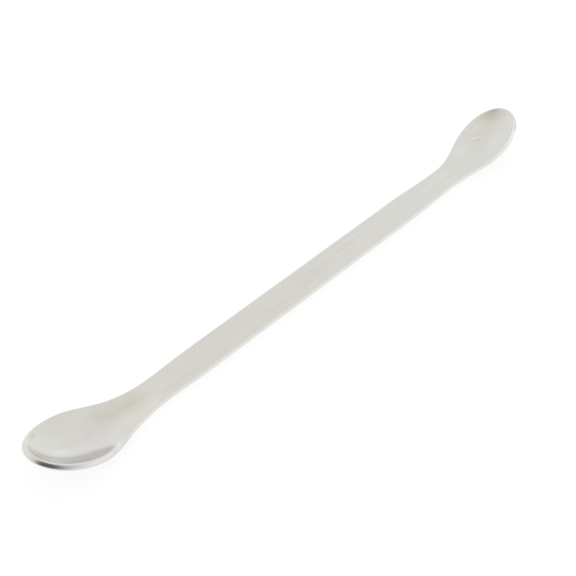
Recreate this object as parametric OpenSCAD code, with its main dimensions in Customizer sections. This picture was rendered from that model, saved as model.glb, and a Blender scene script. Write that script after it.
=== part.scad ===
// Double-ended laboratory spoon spatula.
// One strip of stainless sheet, stamped to outline and pressed in one stroke: a flat straight
// handle, a larger oval bowl at one end and a smaller one at the other. Both ends bend upward
// and are dished. X runs along the handle towards the small bowl, Z points up out of the bowls.
// The origin is under the middle of the strip, level with the lowest point it rests on.

/* [Whole spatula] */
// Overall length from tip to tip
overall_length = 160; // [140:1:220]
// Thickness of the steel sheet
sheet_thickness = 1.4; // [0.9:0.05:1.6]
// Rounding of the two corners along the stamped edge
edge_radius = 0.35; // [0.1:0.05:0.4]

/* [Handle] */
// Width of the straight handle
handle_width = 7.8; // [6:0.1:9]

/* [Large bowl] */
// Width of the large bowl across its rim
large_bowl_width = 15.6; // [12:0.1:20]
// Distance from the tip to the widest place
large_bowl_reach = 11.6; // [9:0.1:14]
// Distance from the tip to the narrowest place of the neck
large_neck_reach = 32.6; // [28:0.1:40]
// Width at the narrowest place of the neck
large_neck_width = 7.2; // [5:0.1:9]
// How far the tip stands above the handle
large_tip_lift = 7.9; // [4:0.1:10]
// Distance from the tip to where the strip begins to bend up
large_bend_reach = 27.6; // [24:0.1:36]
// Depth of the dish below the rim
large_dish_depth = 2.8; // [1.5:0.1:3.5]
// Distance from the tip to the deepest place of the dish
large_deep_reach = 12.5; // [10:0.1:15]
// Distance from the tip to where the dish runs out
large_dish_reach = 23; // [20:0.1:27]

/* [Small bowl] */
// Width of the small bowl across its rim
small_bowl_width = 12.8; // [9:0.1:16]
// Distance from the tip to the widest place
small_bowl_reach = 9; // [6.5:0.1:11.5]
// Distance from the tip to the narrowest place of the neck
small_neck_reach = 26.6; // [22:0.1:32]
// Width at the narrowest place of the neck
small_neck_width = 6.9; // [5:0.1:9]
// How far the tip stands above the handle
small_tip_lift = 8.5; // [4:0.1:10]
// Distance from the tip to where the strip begins to bend up
small_bend_reach = 23.2; // [20:0.1:30]
// Depth of the dish below the rim
small_dish_depth = 1.25; // [0.8:0.05:2]
// Distance from the tip to the deepest place of the dish
small_deep_reach = 5.8; // [4.5:0.1:8]
// Distance from the tip to where the dish runs out
small_dish_reach = 23.4; // [16:0.1:26]

/* [Hidden] */

steel_colour = [0.81, 0.80, 0.77];

// Pull of the shoulder curve at the bowl and at the neck, as shares of the distance between them
large_shoulder_pull = [0.22, 0.47];
small_shoulder_pull = [0.39, 0.58];
// Length over which each neck widens again into the handle
large_neck_run = 12.5;
small_neck_run = 17;
neck_pull = 0.4;
// The bend upward grows towards the tip with this power of the distance
large_bend_power = 1.9;
small_bend_power = 1.5;
// The wall at the tip steepens with the first power, and the side walls with the second
large_wall_powers = [4.5, 2];
small_wall_powers = [3.5, 2.4];

// Facet counts: along the tip, the shoulder and the neck, across the strip, round each corner
tip_steps = 14;
shoulder_steps = 16;
neck_steps = 6;
across_steps = 14;
corner_steps = 3;

function bezier(a, b, c, d, s) =
    pow(1 - s, 3) * a + 3 * pow(1 - s, 2) * s * b + 3 * (1 - s) * s * s * c + pow(s, 3) * d;

// Outline of one end, as [distance from the tip, half width], kept one edge radius inside the
// rim so that the rounded edge can be laid round it.
function tip_arc(reach, half) =
    [for (i = [0 : tip_steps])
        let (turn = 90 * i / tip_steps)
            [reach - (reach - edge_radius) * cos(turn), (half - edge_radius) * sin(turn)]];
function shoulder(reach, half, neck_reach, neck_half, pull) =
    let (run = neck_reach - reach, wide = half - edge_radius, slim = neck_half - edge_radius)
        [for (i = [1 : shoulder_steps])
            bezier([reach, wide], [reach + pull[0] * run, wide],
                   [neck_reach - pull[1] * run, slim], [neck_reach, slim], i / shoulder_steps)];
function neck(neck_reach, neck_half, run) =
    let (slim = neck_half - edge_radius, full = handle_width / 2 - edge_radius)
        [for (i = [1 : neck_steps])
            bezier([neck_reach, slim], [neck_reach + neck_pull * run, slim],
                   [neck_reach + (1 - neck_pull) * run, full], [neck_reach + run, full],
                   i / neck_steps)];
function end_outline(reach, width, neck_reach, neck_width, pull, run) =
    concat(tip_arc(reach, width / 2),
           shoulder(reach, width / 2, neck_reach, neck_width / 2, pull),
           neck(neck_reach, neck_width / 2, run));

// One end's bend is [tip lift, bend reach, power], and its dish is
// [depth, reach of the deepest place, reach of the run-out, [tip wall power, side wall power]].
large_bend = [large_tip_lift, large_bend_reach, large_bend_power];
small_bend = [small_tip_lift, small_bend_reach, small_bend_power];
large_dish = [large_dish_depth, large_deep_reach, large_dish_reach, large_wall_powers];
small_dish = [small_dish_depth, small_deep_reach, small_dish_reach, small_wall_powers];

// Height of the rim above the handle at a distance u from the tip
function rim_rise(u, bend) = bend[0] * pow(max(0, 1 - u / bend[1]), bend[2]);
// Depth of the dish below the rim. It starts where the upper face starts, one edge radius in
// from the tip, and has no depth there.
function dish_depth(u, dish) =
    u < dish[1] ? dish[0] * (1 - pow((dish[1] - u) / (dish[1] - edge_radius), dish[3][0]))
    : u < dish[2] ? dish[0] * (1 + cos(180 * (u - dish[1]) / (dish[2] - dish[1]))) / 2
    : 0;

// Stations of one end, as [distance from the tip, half width, rim height, dish depth, side power]
function end_stations(outline, bend, dish) =
    [for (p = outline)
        [p[0], p[1], rim_rise(p[0], bend), dish_depth(p[0], dish), dish[3][1]]];

// How far the leaning edge at a tip stands out beyond the rim line there
function tip_slope(bend, dish) =
    atan(bend[0] * bend[2] / bend[1] + dish[0] * dish[3][0] / (dish[1] - edge_radius));
function edge_overhang(slope) = (sheet_thickness - edge_radius) * sin(slope);

large_overhang = edge_overhang(tip_slope(large_bend, large_dish));
small_overhang = edge_overhang(tip_slope(small_bend, small_dish));

large_end = end_stations(
    end_outline(large_bowl_reach, large_bowl_width, large_neck_reach, large_neck_width,
                large_shoulder_pull, large_neck_run),
    large_bend, large_dish);
small_end = end_stations(
    end_outline(small_bowl_reach, small_bowl_width, small_neck_reach, small_neck_width,
                small_shoulder_pull, small_neck_run),
    small_bend, small_dish);

large_tip_x = -overall_length / 2 + large_overhang;
small_tip_x = overall_length / 2 - small_overhang;

// All stations along X, as [x, half width, rim height, dish depth, side power]
function placed(x, s) = [x, s[1], s[2], s[3], s[4]];
stations = concat(
    [for (s = large_end) placed(large_tip_x + s[0], s)],
    [for (i = [len(small_end) - 1 : -1 : 0])
        placed(small_tip_x - small_end[i][0], small_end[i])]);
last = len(stations) - 1;

// The upper face of the sheet: a dished section at each station
top = [for (s = stations)
    [for (j = [0 : across_steps])
        let (q = 2 * j / across_steps - 1)
            [s[0], s[1] * q, s[2] - s[3] * (1 - pow(abs(q), s[4]))]]];

function unit(v) = v / norm(v);
// Differences along and across the upper face, one-sided at its rims
function along(i, j) = top[min(i + 1, last)][j] - top[max(i - 1, 0)][j];
function across(i, j) =
    j == 0 ? 4 * top[i][1] - 3 * top[i][0] - top[i][2]
    : j == across_steps ? 3 * top[i][j] - 4 * top[i][j - 1] + top[i][j - 2]
    : top[i][j + 1] - top[i][j - 1];
function sheet_normal(i, j) =
    i == 0 || i == last ? unit(cross(along(i, across_steps / 2), [0, 1, 0]))
    : unit(cross(along(i, j), across(i, j)));

// Rounded edge laid round the rim point, from just under the upper face to the lower face.
// out is the direction out of the sheet, up its normal.
function edge(rim, out, up) =
    let (upper = rim - edge_radius * up, lower = rim - (sheet_thickness - edge_radius) * up)
        concat(
            [for (c = [1 : corner_steps])
                let (turn = 90 - 90 * c / corner_steps)
                    upper + edge_radius * (cos(turn) * out + sin(turn) * up)],
            [for (c = [0 : corner_steps - 1])
                let (turn = -90 * c / corner_steps)
                    lower + edge_radius * (cos(turn) * out + sin(turn) * up)]);
function reversed(list) = [for (i = [len(list) - 1 : -1 : 0]) list[i]];

edge_count = 2 * corner_steps;
loop_count = 2 * (across_steps + 1) + 2 * edge_count;
pole_count = edge_count + 2;

// A tip has no width, so its section is a single row of points down the edge
function pole(i, out_sign) =
    let (rim = top[i][0], up = sheet_normal(i, 0), out = out_sign * cross([0, 1, 0], up))
        concat([rim], edge(rim, out, up), [rim - sheet_thickness * up]);
// Any other section runs over the upper face, down one edge, back underneath and up the other
function section(i) =
    let (far_up = sheet_normal(i, across_steps), near_up = sheet_normal(i, 0))
        concat(
            top[i],
            edge(top[i][across_steps], -unit(cross(along(i, across_steps), far_up)), far_up),
            [for (j = [across_steps : -1 : 0])
                top[i][j] - sheet_thickness * sheet_normal(i, j)],
            reversed(edge(top[i][0], unit(cross(along(i, 0), near_up)), near_up)));

raw_points = concat(
    pole(0, -1),
    [for (i = [1 : last - 1]) each section(i)],
    pole(last, 1));
lowest = min([for (p = raw_points) p[2]]);
sheet_points = [for (p = raw_points) [p[0], p[1], p[2] - lowest]];

// Where point k of a section falls in a tip's row of points
function in_pole(k) =
    k <= across_steps ? 0
    : k <= across_steps + edge_count ? k - across_steps
    : k <= 2 * across_steps + edge_count + 1 ? edge_count + 1
    : loop_count - k;
function index(i, k) =
    let (m = k % loop_count)
        i == 0 ? in_pole(m)
        : i == last ? pole_count + (last - 1) * loop_count + in_pole(m)
        : pole_count + (i - 1) * loop_count + m;
sheet_faces = [for (i = [0 : last - 1], k = [0 : loop_count - 1])
    let (a = index(i, k), b = index(i, k + 1), c = index(i + 1, k + 1), d = index(i + 1, k))
        each concat(a == b ? [] : [[a, b, c]], c == d ? [] : [[a, c, d]])];

module spatula() {
    color(steel_colour)
    polyhedron(points = sheet_points, faces = sheet_faces, convexity = 6);
}

spatula();
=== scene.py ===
import math

import bpy
import numpy as np
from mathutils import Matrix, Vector


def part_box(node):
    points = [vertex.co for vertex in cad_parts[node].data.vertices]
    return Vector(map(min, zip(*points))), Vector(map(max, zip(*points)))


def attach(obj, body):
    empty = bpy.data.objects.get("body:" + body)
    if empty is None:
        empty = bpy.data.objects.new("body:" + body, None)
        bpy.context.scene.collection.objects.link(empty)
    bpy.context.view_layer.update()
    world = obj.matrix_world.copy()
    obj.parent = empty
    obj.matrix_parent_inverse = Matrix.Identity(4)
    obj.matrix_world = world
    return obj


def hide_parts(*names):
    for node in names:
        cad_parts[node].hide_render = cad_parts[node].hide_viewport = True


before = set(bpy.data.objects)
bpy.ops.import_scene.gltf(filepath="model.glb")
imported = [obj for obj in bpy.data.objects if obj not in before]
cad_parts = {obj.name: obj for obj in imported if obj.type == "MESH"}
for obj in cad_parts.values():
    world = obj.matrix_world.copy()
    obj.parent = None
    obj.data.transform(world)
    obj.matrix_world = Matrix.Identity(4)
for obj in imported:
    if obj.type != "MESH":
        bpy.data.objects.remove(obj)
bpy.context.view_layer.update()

# ---------------------------------------------------------------- sizes of the spatula
# The same construction as the CAD part, in millimetres, on a much finer grid.
LENGTH = 160.0
SHEET = 1.4         # thickness
CORNER = 0.35       # radius of the rounded stamped edges
HANDLE = 7.8        # width
NECK_PULL = 0.4     # how stiffly the outline bends between neck and handle
# Of each end: width; distances from the tip to the widest place (reach) and to the neck; width of
# the neck; how stiffly the shoulder bends at its two ends; length from neck to full handle width;
# height, length and power of the upward bend; depth of the dish, where it is deepest and where it
# ends; how steep its walls are, towards the tip and the sides.
LARGE = dict(width=15.6, reach=11.6, neck=32.6, neck_width=7.2, pull=(0.22, 0.47), run=12.5,
             lift=7.9, bend=27.6, bend_power=1.9,
             depth=2.8, deep=12.5, end=23.0, tip_power=4.5, side_power=2.0)
SMALL = dict(width=12.8, reach=9.0, neck=26.6, neck_width=6.9, pull=(0.39, 0.58), run=17.0,
             lift=8.5, bend=23.2, bend_power=1.5,
             depth=1.25, deep=5.8, end=23.4, tip_power=3.5, side_power=2.4)

# Steps of the grid: along the tip, shoulder, neck and handle, across, and round each corner
TIP_STEPS = 60
SHOULDER_STEPS = 64
NECK_STEPS = 24
HANDLE_STEPS = 48
ACROSS = 44
ROUND = 8

# How much the edge is worn and lightened by a painted highlight, by steps down from the upper face: the
# steps, then the amount at each.
# The handle's edge has most of it lower down. WEAR_AND_SHEEN_CHANGES is along x, in metres.
HANDLE_WEAR_AND_SHEEN = (1, 5, 8, 9, 16, 18), (0, 0.45, 0.6, 1, 1, 0)
SMALL_BOWL_WEAR_AND_SHEEN = (1, 5, 12, 18), (0, 1, 1, 0)
WEAR_AND_SHEEN_CHANGES = (0.052, 0.062)

# ---------------------------------------------------------------- marks on the steel
# Handle marks: x, y, half length, half width in millimetres, and turn about Z in degrees
HANDLE_FACE = 2.03      # height of the handle's upper face
DULL_PLACES = ((4, 0.2, 11, 2.8, 0), (-17, 0.9, 10, 2.6, -3), (17, 0.9, 7, 1.6, 0),
               (-33, -0.8, 13, 0.4, -2), (-14, -1.35, 9, 0.4, -2), (0, -1.75, 4, 0.45, 0),
               (1, -0.1, 4, 0.45, 0), (8, 0.5, 4, 0.5, 0))
CLEAN_PLACES = ((-47, 1.5, 5, 2.2, 0), (29.5, 1.3, 6, 0.7, 0), (52.5, 1.2, 5, 1.6, 0))
# Other marks: centre and half size in millimetres, and turn about Z in degrees
BRIGHT_PLACES = (((72.2, -2.6, 6.0), (5.5, 2.6, 3.5), 0), ((64.6, 2.9, 3.6), (5.5, 2.8, 3.0), 0),
                 ((72.2, 3.9, 6.2), (3.4, 1.6, 3.0), 0), ((-50.0, -1.8, 2.0), (4.5, 1.9, 2.0), 0))
DARKER_PLACES = (((-70.5, 0.8, 3.3), (8.0, 2.1, 4.5), 0), ((78.4, -0.5, 9.9), (1.9, 2.6, 2.4), 0))
TARNISH_AND_SHADE = (-56.3, 1.2, 2.5), (10.0, 4.8, 30.0), -4      # painted shade with a warm tarnish, behind the large bowl
STAIN_AND_REFLECTION = (72.0, 1.8, 5.0), (7.5, 5.2, 30.0), 0           # a stain with a painted reflection of the camera, in the small bowl
FILM = (-69.5, 7.2, 6.0), (8.0, 6.2, 30.0), 0           # on the far wall of the large bowl
NECK_HIGHLIGHT = (-53.5, -2.2, 2.4), (12.0, 4.6, 3.2), 4      # painted highlight, on the near side of its neck
RIM_TURN_BRIGHTER = (-63.1, -6.5, 3.45), (2.4, 1.7, 1.9), 0        # brighter where its near rim turns into the neck
WIPED = (-71.0, -5.0, 6.0), (16.0, 9.0, 30.0), 0        # on its near wall
TIP_WALL_HIGHLIGHT = (-77.7, 2.0, 8.4), (1.3, 3.2, 2.0), 0        # painted highlight, inside its tip
SCRATCH = (69.2, 1.7, 4.65), (2.0, 0.45, 1.0), -42      # in the small bowl, as are the next two
RAISED_LIP = (69.4, 2.35, 4.8), (1.9, 0.45, 1.0), -42
FAINT_SCRATCH = (67.2, 3.3, 4.2), (1.8, 0.4, 1.0), -40
PIT = (78.2, -0.15, 9.6), (0.5, 0.5, 0.6), 0            # at the small tip

# Where looks change along x, in metres: from the first value to the second
BRUSHING_FADES = (0.055, 0.066)         # on both sides of the middle
HANDLED_FROM = (0.045, -0.035)
HANDLED_TO = (-0.074, -0.058)
STEEP_WALL = (-0.068, -0.0715)
WEAR_AND_SHEEN_AT_LARGE_BOWL = (-0.064, -0.042)
WEAR_AND_SHEEN_AT_SMALL_TIP = (0.0785, 0.0765)
# painted shade on the cut side, by the small tip
CUT_SHADE_RANGE = (0.0755, 0.077)

DARK_STREAK = (0.627, 0.620, 0.585)
LIGHT_STREAK = (0.757, 0.750, 0.709)
# painted highlight on the steep wall of the large bowl
PAINTED_WALL_HIGHLIGHT = (0.84, 0.83, 0.82)
# colour of the worn edge, lighter also for a painted highlight
WORN_EDGE_AND_SHEEN = (0.80, 0.79, 0.765)
HAIR_DEPTH = 0.00001    # of the brushing, in metres
MARK_DEPTH = 0.00003    # of the scratches and the pit

# ---------------------------------------------------------------- stage, in metres and degrees
FLOOR_HEIGHT = -0.00002
FLOOR_SIZE = 8
FLOOR_GREY = (0.2, 0.2, 0.2)
FLOOR_GLOW = 0.825      # with the light that falls on it, this makes the floor white
WORLD_LEVEL = 0.963
WARM_WHITE = (0.80, 0.77, 0.66)
CARD_PLACE = (-0.1378, -0.1294, 0.1)
CARD_FACES = (0, 0, 0.1)
CARD_SIZE = 1.6
# Shapes on the card, each laid over the one before: colour, centre and half size on the card,
# where it starts and ends fading, in half sizes, and how much it covers
CARD_SHAPES = (
    ((0.465, 0.407, 0.256), (0.07, 0.10, 0), (0.212, 0.85, 1), (0.0, 1.0), 0.25),
    ((0.35, 0.30, 0.256), (-0.15, 0.07, 0), (0.30, 0.16, 1), (0.0, 1.0), 0.45),
    ((0.058, 0.035, 0.047), (0.03, 0.04, 0), (0.2, 0.14, 1), (0.1, 1.15), 0.9))
CAMERA_PLACE = (-0.137881, -0.129365, 0.193977)
CAMERA_TURN = (44.1797, -0.0867, -45.6132)
CAMERA_LENS = 70.008
CAMERA_SENSOR = 36.0


# ---------------------------------------------------------------- the spatula's surface
def unit(v):
    return v / np.linalg.norm(v, axis=-1, keepdims=True)


def bezier(a, b, c, d, steps):
    """A curve from a towards b, arriving from c at d, as points without the first one."""
    a, b, c, d = (np.array(p, float) for p in (a, b, c, d))
    t = np.arange(1, steps + 1)[:, None] / steps
    return (1 - t) ** 3 * a + 3 * (1 - t) ** 2 * t * b + 3 * (1 - t) * t * t * c + t ** 3 * d


def end_stations(width, reach, neck, neck_width, pull, run, lift, bend, bend_power,
                 depth, deep, end, tip_power, side_power):
    """[distance from tip, half width, rim height, dish depth, side power], and the overhang."""
    half, slim, full = width / 2 - CORNER, neck_width / 2 - CORNER, HANDLE / 2 - CORNER
    turn = np.linspace(0, math.pi / 2, TIP_STEPS + 1)
    tip = np.c_[reach - (reach - CORNER) * np.cos(turn), half * np.sin(turn)]
    way = neck - reach
    shoulder = bezier([reach, half], [reach + pull[0] * way, half],
                      [neck - pull[1] * way, slim], [neck, slim], SHOULDER_STEPS)
    widening = bezier([neck, slim], [neck + NECK_PULL * run, slim],
                      [neck + (1 - NECK_PULL) * run, full], [neck + run, full], NECK_STEPS)
    line = np.r_[tip, shoulder, widening]
    from_tip = line[:, 0]
    rise = lift * np.maximum(0, 1 - from_tip / bend) ** bend_power
    inner = deep - CORNER
    fade = np.clip((from_tip - deep) / (end - deep), 0, 1)
    dish = np.where(from_tip < deep, 1 - np.abs((deep - from_tip) / inner) ** tip_power,
                    (1 + np.cos(math.pi * fade)) / 2) * depth
    slope = math.atan(lift * bend_power / bend + depth * tip_power / inner)
    power = np.full(len(from_tip), side_power)
    return np.c_[line, rise, dish, power], (SHEET - CORNER) * math.sin(slope)


def surface():
    """The closed skin of the strip in metres, one loop of points per station along it."""
    big, big_over = end_stations(**LARGE)
    small, small_over = end_stations(**SMALL)
    big[:, 0] += -LENGTH / 2 + big_over
    small = small[::-1].copy()
    small[:, 0] = LENGTH / 2 - small_over - small[:, 0]
    share = np.linspace(0, 1, HANDLE_STEPS + 1)[1:-1, None]
    rows = np.r_[big, big[-1] * (1 - share) + small[0] * share, small]
    side = np.linspace(-1, 1, ACROSS + 1)[None]
    top = np.stack([np.repeat(rows[:, :1], ACROSS + 1, 1), rows[:, 1:2] * side,
                    rows[:, 2:3] - rows[:, 3:4] * (1 - np.abs(side) ** rows[:, 4:5])], -1)
    along, across = np.empty_like(top), np.empty_like(top)
    along[1:-1] = top[2:] - top[:-2]
    along[0], along[-1] = top[1] - top[0], top[-1] - top[-2]
    across[:, 1:-1] = top[:, 2:] - top[:, :-2]
    across[:, 0] = 4 * top[:, 1] - 3 * top[:, 0] - top[:, 2]
    across[:, -1] = 3 * top[:, -1] - 4 * top[:, -2] + top[:, -3]
    for i in (0, -1):
        across[i] = (0, 1, 0)
        along[i] = along[i][ACROSS // 2]
    normal = unit(np.cross(along, across))
    out_low = unit(np.cross(along[:, 0], normal[:, 0]))
    out_high = -unit(np.cross(along[:, -1], normal[:, -1]))
    for i, sign in ((0, -1), (-1, 1)):
        out_low[i] = out_high[i] = sign * np.cross([0, 1, 0], normal[i, 0])

    def edge(rim, out, up):
        turns = [(CORNER, math.pi / 2 * (1 - c / ROUND)) for c in range(1, ROUND + 1)]
        turns += [(SHEET - CORNER, -math.pi / 2 * c / ROUND) for c in range(ROUND)]
        return np.stack([rim - deep * up + CORNER * (math.cos(a) * out + math.sin(a) * up)
                         for deep, a in turns], 1)

    skin = np.concatenate([
        top, edge(top[:, -1], out_high, normal[:, -1]), (top - SHEET * normal)[:, ::-1],
        edge(top[:, 0], out_low, normal[:, 0])[:, ::-1]], 1)
    # from millimetres to the CAD node's own box
    low, high = (np.array(corner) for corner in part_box("spatula"))
    first, last = skin.min((0, 1)), skin.max((0, 1))
    return low + (skin - first) / (last - first) * (high - low)


def edge_wear_and_sheen(skin):
    """How much each point of the skin belongs to the worn edge with its painted highlight, from 0 to 1.
    """
    loop = skin.shape[1]
    point = np.arange(loop)
    down = np.minimum(point - ACROSS, loop - point)
    in_bowl = np.interp(skin[:, :1, 0], WEAR_AND_SHEEN_CHANGES, (0, 1))
    wear_and_sheen = (1 - in_bowl) * np.interp(down, *HANDLE_WEAR_AND_SHEEN) + in_bowl * np.interp(down, *SMALL_BOWL_WEAR_AND_SHEEN)
    return np.where(point > ACROSS, wear_and_sheen, 0)


def skin_mesh(name):
    skin = surface()
    rows, loop = skin.shape[:2]
    edge = 2 * ROUND
    # At each tip the loop closes up, and its upper points are one point, as are its lower ones.
    pole = edge + 2
    pole_at = [0] + list(range(ACROSS + 1, ACROSS + edge + 1)) + [ACROSS + edge + 1]

    def in_pole(point):
        if point <= ACROSS:
            return 0
        if point <= ACROSS + edge:
            return point - ACROSS
        if point <= 2 * ACROSS + edge + 1:
            return edge + 1
        return loop - point

    def index(row, point):
        point %= loop
        if row == 0:
            return in_pole(point)
        if row == rows - 1:
            return pole + (rows - 2) * loop + in_pole(point)
        return pole + (row - 1) * loop + point

    faces = []
    for row in range(rows - 1):
        for point in range(loop):
            ring = [index(row, point), index(row + 1, point),
                    index(row + 1, point + 1), index(row, point + 1)]
            face = [v for n, v in enumerate(ring) if v not in ring[:n]]
            if len(face) > 2:
                faces.append(face)
    points = np.concatenate([skin[0][pole_at], skin[1:-1].reshape(-1, 3), skin[-1][pole_at]])
    mesh = bpy.data.meshes.new(name)
    mesh.from_pydata(points.tolist(), [], faces)
    mesh.polygons.foreach_set("use_smooth", [True] * len(mesh.polygons))
    mesh.update()
    worn_and_sheen = edge_wear_and_sheen(skin)
    rim = mesh.attributes.new("rim", "FLOAT", "POINT")
    rim.data.foreach_set("value", np.concatenate(
        [worn_and_sheen[0][pole_at], worn_and_sheen[1:-1].ravel(), worn_and_sheen[-1][pole_at]]).astype(np.float32))
    obj = bpy.data.objects.new(name, mesh)
    bpy.context.scene.collection.objects.link(obj)
    return obj


# ---------------------------------------------------------------- materials
class Tree:
    """Adds nodes to a material's or world's node tree.

    A value is a number, a tuple or another node's output. Colours have three numbers."""

    def __init__(self, owner):
        owner.use_nodes = True
        self.nodes = owner.node_tree.nodes
        self.links = owner.node_tree.links

    def fill(self, socket, value):
        if isinstance(value, bpy.types.NodeSocket):
            self.links.new(value, socket)
        elif socket.type == "RGBA":
            socket.default_value = (*value, 1)
        else:
            socket.default_value = value

    def add(self, kind, values, **settings):
        node = self.nodes.new("ShaderNode" + kind)
        for name, setting in settings.items():
            setattr(node, name, setting)
        for socket, value in values.items():
            self.fill(node.inputs[socket], value)
        return node

    def coordinates(self, kind):
        return self.add("TexCoord", {}).outputs[kind]

    def parts(self, vector):
        return self.add("SeparateXYZ", {0: vector}).outputs

    def chain(self, operation, values):
        result = values[0]
        for value in values[1:]:
            result = self.add("Math", {0: result, 1: value}, operation=operation).outputs[0]
        return result

    def total(self, *values):
        return self.chain("ADD", values)

    def product(self, *values):
        return self.chain("MULTIPLY", values)

    def largest(self, *values):
        return self.chain("MAXIMUM", values)

    def ramp(self, value, low, high, first=0.0, last=1.0, shape="LINEAR"):
        """From first to last as the value goes from low to high."""
        node = self.add("MapRange", {"Value": value, "From Min": low, "From Max": high,
                                     "To Min": first, "To Max": last}, interpolation_type=shape)
        return node.outputs["Result"]

    def blend(self, a, b, factor, mode="MIX"):
        node = self.add("Mix", {"A": a, "B": b, "Factor": factor}, data_type="RGBA", blend_type=mode)
        return node.outputs["Result"]

    def length(self, vector):
        return self.add("VectorMath", {0: vector}, operation="LENGTH").outputs["Value"]

    def noise(self, scale, detail, stretch=(1, 1, 1)):
        place = self.add("Mapping", {"Vector": self.coordinates("Object"), "Scale": stretch})
        texture = self.add("TexNoise", {"Vector": place.outputs["Vector"], "Scale": scale,
                                        "Detail": detail})
        return texture.outputs["Fac"]

    def spot(self, centre, half, turn, wobble=None):
        """1 in the middle of a soft ellipsoid, 0 outside; sizes in millimetres, turn in degrees."""
        place = self.add("Mapping", {
            "Vector": self.coordinates("Object"), "Location": [c / 1000 for c in centre],
            "Rotation": (0, 0, math.radians(turn)), "Scale": [h / 1000 for h in half],
        }, vector_type="TEXTURE")
        distance = self.length(place.outputs["Vector"])
        if wobble is not None:
            distance = self.total(distance, self.ramp(wobble, 0.3, 0.7, -0.25, 0.25))
        return self.ramp(distance, 1.0, 0.0, shape="SMOOTHSTEP")

    def spots(self, places, wobble):
        return self.total(*[self.spot(*place, wobble) for place in places])


def on_handle(places):
    """Handle marks as centre, half size and turn."""
    return [((x, y, HANDLE_FACE), (long, wide, 1.0), turn) for x, y, long, wide, turn in places]


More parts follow.
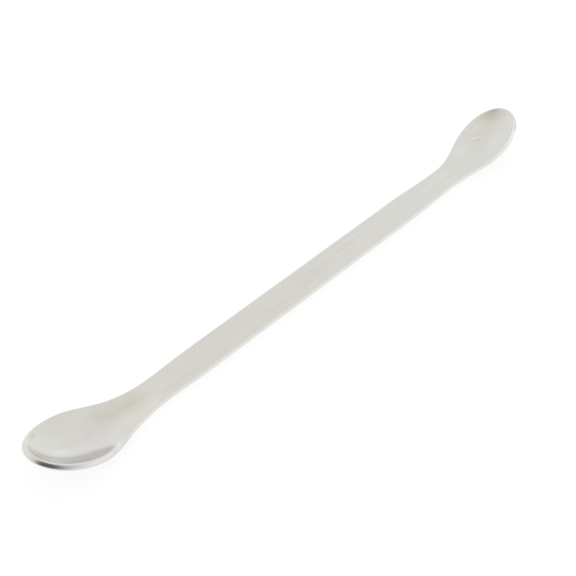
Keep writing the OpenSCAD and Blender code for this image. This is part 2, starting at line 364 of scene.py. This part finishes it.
def steel():
    material = bpy.data.materials.new("brushed_steel")
    tree = Tree(material)
    ramp, product, total, spot = tree.ramp, tree.product, tree.total, tree.spot
    shader = tree.nodes["Principled BSDF"].inputs
    shader["Metallic"].default_value = 1.0

    along = tree.parts(tree.coordinates("Object"))["X"]
    facing = tree.parts(tree.coordinates("Normal"))
    upper = ramp(facing["Z"], 0.2, 0.5)
    rim = tree.add("Attribute", {}, attribute_name="rim").outputs["Fac"]

    fine = tree.noise(1.0, 3.0, (60, 5200, 5200))       # hair lines of the lengthwise brushing
    broad = tree.noise(1.0, 2.0, (45, 1200, 1200))      # wider streaks of it
    patch = tree.noise(1.0, 3.0, (300, 1300, 1300))     # short uneven streaks
    cloud = tree.noise(160.0, 3.0)                      # uneven polish, a few millimetres across

    # The brushing shows on the handle and is nearly pressed out of the bowls.
    streak = total(product(broad, 0.45), product(fine, 0.15), product(patch, 0.25), product(cloud, 0.15))
    from_middle = tree.add("Math", {0: along}, operation="ABSOLUTE").outputs[0]
    brushed = ramp(from_middle, *BRUSHING_FADES, 1.0, 0.45)
    streak = total(product(streak, brushed), ramp(brushed, 0, 1, 0.5, 0))

    # Where the steel is duller, warmer or brighter than the rest, and by how much
    # Painted shade, with a warm tarnish, on the upward faces behind the large bowl
    tarnish_and_shade = product(upper, spot(*TARNISH_AND_SHADE, cloud))
    colour = tree.blend(DARK_STREAK, LIGHT_STREAK, streak)
    for mark, tint in (
            (tree.spots(on_handle(DULL_PLACES), patch), (0.976, 0.97, 0.96)),
            (tree.spots(on_handle(CLEAN_PLACES), patch), (1.025, 1.025, 1.025)),
            (product(ramp(along, *HANDLED_FROM), ramp(along, *HANDLED_TO)), (0.976, 0.967, 0.944)),
            (tarnish_and_shade, (0.90, 0.87, 0.83)),
            # a stain with a painted reflection of the camera, in the small bowl
            (product(upper, spot(*STAIN_AND_REFLECTION, cloud)), (0.97, 0.958, 0.935)),
            (product(upper, spot(*FILM)), (0.94, 0.93, 0.92)),
            # painted highlight on the near side of the large bowl's neck
            (spot(*NECK_HIGHLIGHT, patch), (1.058, 1.058, 1.068)),
            (spot(*RIM_TURN_BRIGHTER), (1.17, 1.17, 1.19)),
            (tree.spots(BRIGHT_PLACES, cloud), (1.05, 1.05, 1.055)),
            (tree.spots(DARKER_PLACES, cloud), (0.955, 0.95, 0.945)),
            (product(upper, spot(*WIPED)), (0.992, 0.994, 1.055))):
        colour = tree.blend(colour, tint, mark, "MULTIPLY")

    # Painted highlight: the steep upper part of the large bowl's near wall, and a spot inside its tip,
    # are made lighter, which pales the dark reflection there.
    steep_wall_highlight = product(ramp(facing["Z"], 0.77, 0.71), ramp(facing["Z"], 0.45, 0.55),
                    ramp(facing["Y"], 0.1, 0.28), ramp(along, *STEEP_WALL))
    steep_wall_highlight = tree.largest(steep_wall_highlight, product(spot(*TIP_WALL_HIGHLIGHT), 0.6))
    colour = tree.blend(colour, PAINTED_WALL_HIGHLIGHT, steep_wall_highlight)

    # The scratches and the pit
    marks = tree.largest(spot(*SCRATCH), spot(*PIT), product(spot(*FAINT_SCRATCH), 0.35))
    colour = tree.blend(colour, (0.87, 0.85, 0.81), marks, "MULTIPLY")
    colour = tree.blend(colour, (1.08, 1.075, 1.07), spot(*RAISED_LIP), "MULTIPLY")

    # The worn edge, lightened further by a painted highlight, and the cut side of the sheet, darkened by
    # painted shade by the small tip
    worn_and_sheen = product(rim, ramp(cloud, 0.3, 0.7, 0.7, 1.0), ramp(along, *WEAR_AND_SHEEN_AT_LARGE_BOWL, 0.2, 1.0),
                   ramp(along, *WEAR_AND_SHEEN_AT_SMALL_TIP, 0.1, 1.0))
    colour = tree.blend(colour, WORN_EDGE_AND_SHEEN, worn_and_sheen)
    # Painted shade: the cut side that faces the near side is darkened by the small tip
    cut_shade = product(ramp(facing["Z"], 0.68, 0.63), ramp(facing["Y"], -0.4, -0.6),
                  ramp(along, *CUT_SHADE_RANGE))
    colour = tree.blend(colour, (0.68, 0.67, 0.65), cut_shade, "MULTIPLY")
    tree.fill(shader["Base Color"], colour)

    tree.fill(shader["Roughness"], total(
        ramp(fine, 0.3, 0.7, 0.15, 0.20), ramp(cloud, 0.3, 0.7, -0.02, 0.03),
        product(tarnish_and_shade, 0.03), product(worn_and_sheen, -0.05), product(steep_wall_highlight, 0.1)))

    hairs = tree.add("Bump", {"Strength": 0.1, "Distance": HAIR_DEPTH, "Height": fine})
    dents = tree.add("Bump", {"Strength": 0.3, "Distance": MARK_DEPTH, "Height": marks,
                              "Normal": hairs.outputs["Normal"]}, invert=True)
    tree.fill(shader["Normal"], dents.outputs["Normal"])
    return material


body = skin_mesh("spatula_skin")
body.data.materials.append(steel())
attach(body, "root")
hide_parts("spatula")


# ---------------------------------------------------------------- floor and light
def plane(name, centre, size, face_to=None):
    """A square stage plane, turned towards a point if one is given."""
    mesh = bpy.data.meshes.new(name)
    h = size / 2
    mesh.from_pydata([(-h, -h, 0), (h, -h, 0), (h, h, 0), (-h, h, 0)], [], [(0, 1, 2, 3)])
    obj = bpy.data.objects.new(name, mesh)
    obj.location = centre
    if face_to is not None:
        way = Vector(face_to) - Vector(centre)
        obj.rotation_euler = way.to_track_quat("Z", "Y").to_euler()
    bpy.context.scene.collection.objects.link(obj)
    return obj


# Grey, with a glow that only the camera and reflections see: it looks white and keeps a shadow
def white_floor():
    floor = plane("floor", (0, 0, FLOOR_HEIGHT), FLOOR_SIZE)
    material = bpy.data.materials.new("white_floor")
    tree = Tree(material)
    shader = tree.nodes["Principled BSDF"].inputs
    path = tree.add("LightPath", {}).outputs
    seen = tree.largest(path["Is Camera Ray"], path["Is Glossy Ray"], path["Is Transmission Ray"])
    tree.fill(shader["Base Color"], FLOOR_GREY)
    tree.fill(shader["Roughness"], 0.9)
    tree.fill(shader["Specular IOR Level"], 0.0)
    tree.fill(shader["Emission Color"], (1, 1, 1))
    tree.fill(shader["Emission Strength"], tree.product(seen, FLOOR_GLOW))
    floor.data.materials.append(material)


def towards(azimuth, elevation):
    a, e = math.radians(azimuth), math.radians(elevation)
    return (math.cos(e) * math.cos(a), math.cos(e) * math.sin(a), math.sin(e))


# A white tent, brighter towards the floor and to the right of the camera, with a small gleam low
# beyond the small bowl, and dimmer and warmer high up beyond the large one
def studio_world():
    world = bpy.data.worlds.new("studio")
    tree = Tree(world)
    generated = tree.coordinates("Generated")

    def glow(way, low, high, gain):
        """Up to gain, as the cosine of the angle from a direction goes from low to high."""
        cosine = tree.add("VectorMath", {0: generated, 1: way}, operation="DOT_PRODUCT")
        return tree.ramp(cosine.outputs["Value"], low, high, 0, gain, "SMOOTHSTEP")

    background = tree.nodes["Background"].inputs
    tree.fill(background["Strength"], tree.total(
        glow((0, 0, 1), 1.2, 0.0, 0.067),
        glow(towards(316, 0), 0.8, 1.24, 0.337),
        glow(towards(35, 13), 0.985, 1.0, 0.1),
        WORLD_LEVEL))
    tree.fill(background["Color"], tree.blend((1, 1, 1), WARM_WHITE,
                                              glow(towards(181, 53), 0.81, 1.1, 1.0)))
    return world


# The photographer's dark shape behind the camera, which only the steel sees
def dark_card():
    card = plane("camera_card", CARD_PLACE, CARD_SIZE, face_to=CARD_FACES)
    material = bpy.data.materials.new("camera_black")
    tree = Tree(material)
    surface_seen = tree.add("BsdfTransparent", {}).outputs[0]
    for colour, centre, half, fade, cover in CARD_SHAPES:
        place = tree.add("Mapping", {
            "Vector": tree.coordinates("Object"), "Location": [-c / h for c, h in zip(centre, half)],
            "Scale": [1 / h for h in half]})
        distance = tree.length(place.outputs["Vector"])
        amount = tree.ramp(distance, *fade, cover, 0, "SMOOTHERSTEP")
        shape = tree.add("Emission", {"Color": colour, "Strength": 1.0}).outputs[0]
        surface_seen = tree.add("MixShader", {"Fac": amount, 1: surface_seen, 2: shape}).outputs[0]
    tree.fill(tree.nodes["Material Output"].inputs["Surface"], surface_seen)
    tree.nodes.remove(tree.nodes["Principled BSDF"])
    card.data.materials.append(material)
    card.visible_camera = card.visible_diffuse = card.visible_shadow = False


white_floor()
bpy.context.scene.world = studio_world()
dark_card()

# ---------------------------------------------------------------- camera
camera_data = bpy.data.cameras.new("camera")
camera_data.sensor_width = CAMERA_SENSOR
camera_data.lens = CAMERA_LENS
camera_data.clip_start = 0.01
camera = bpy.data.objects.new("camera", camera_data)
camera.location = CAMERA_PLACE
camera.rotation_euler = [math.radians(a) for a in CAMERA_TURN]
bpy.context.scene.collection.objects.link(camera)
bpy.context.scene.camera = camera
bpy.context.scene.view_settings.view_transform = "Standard"
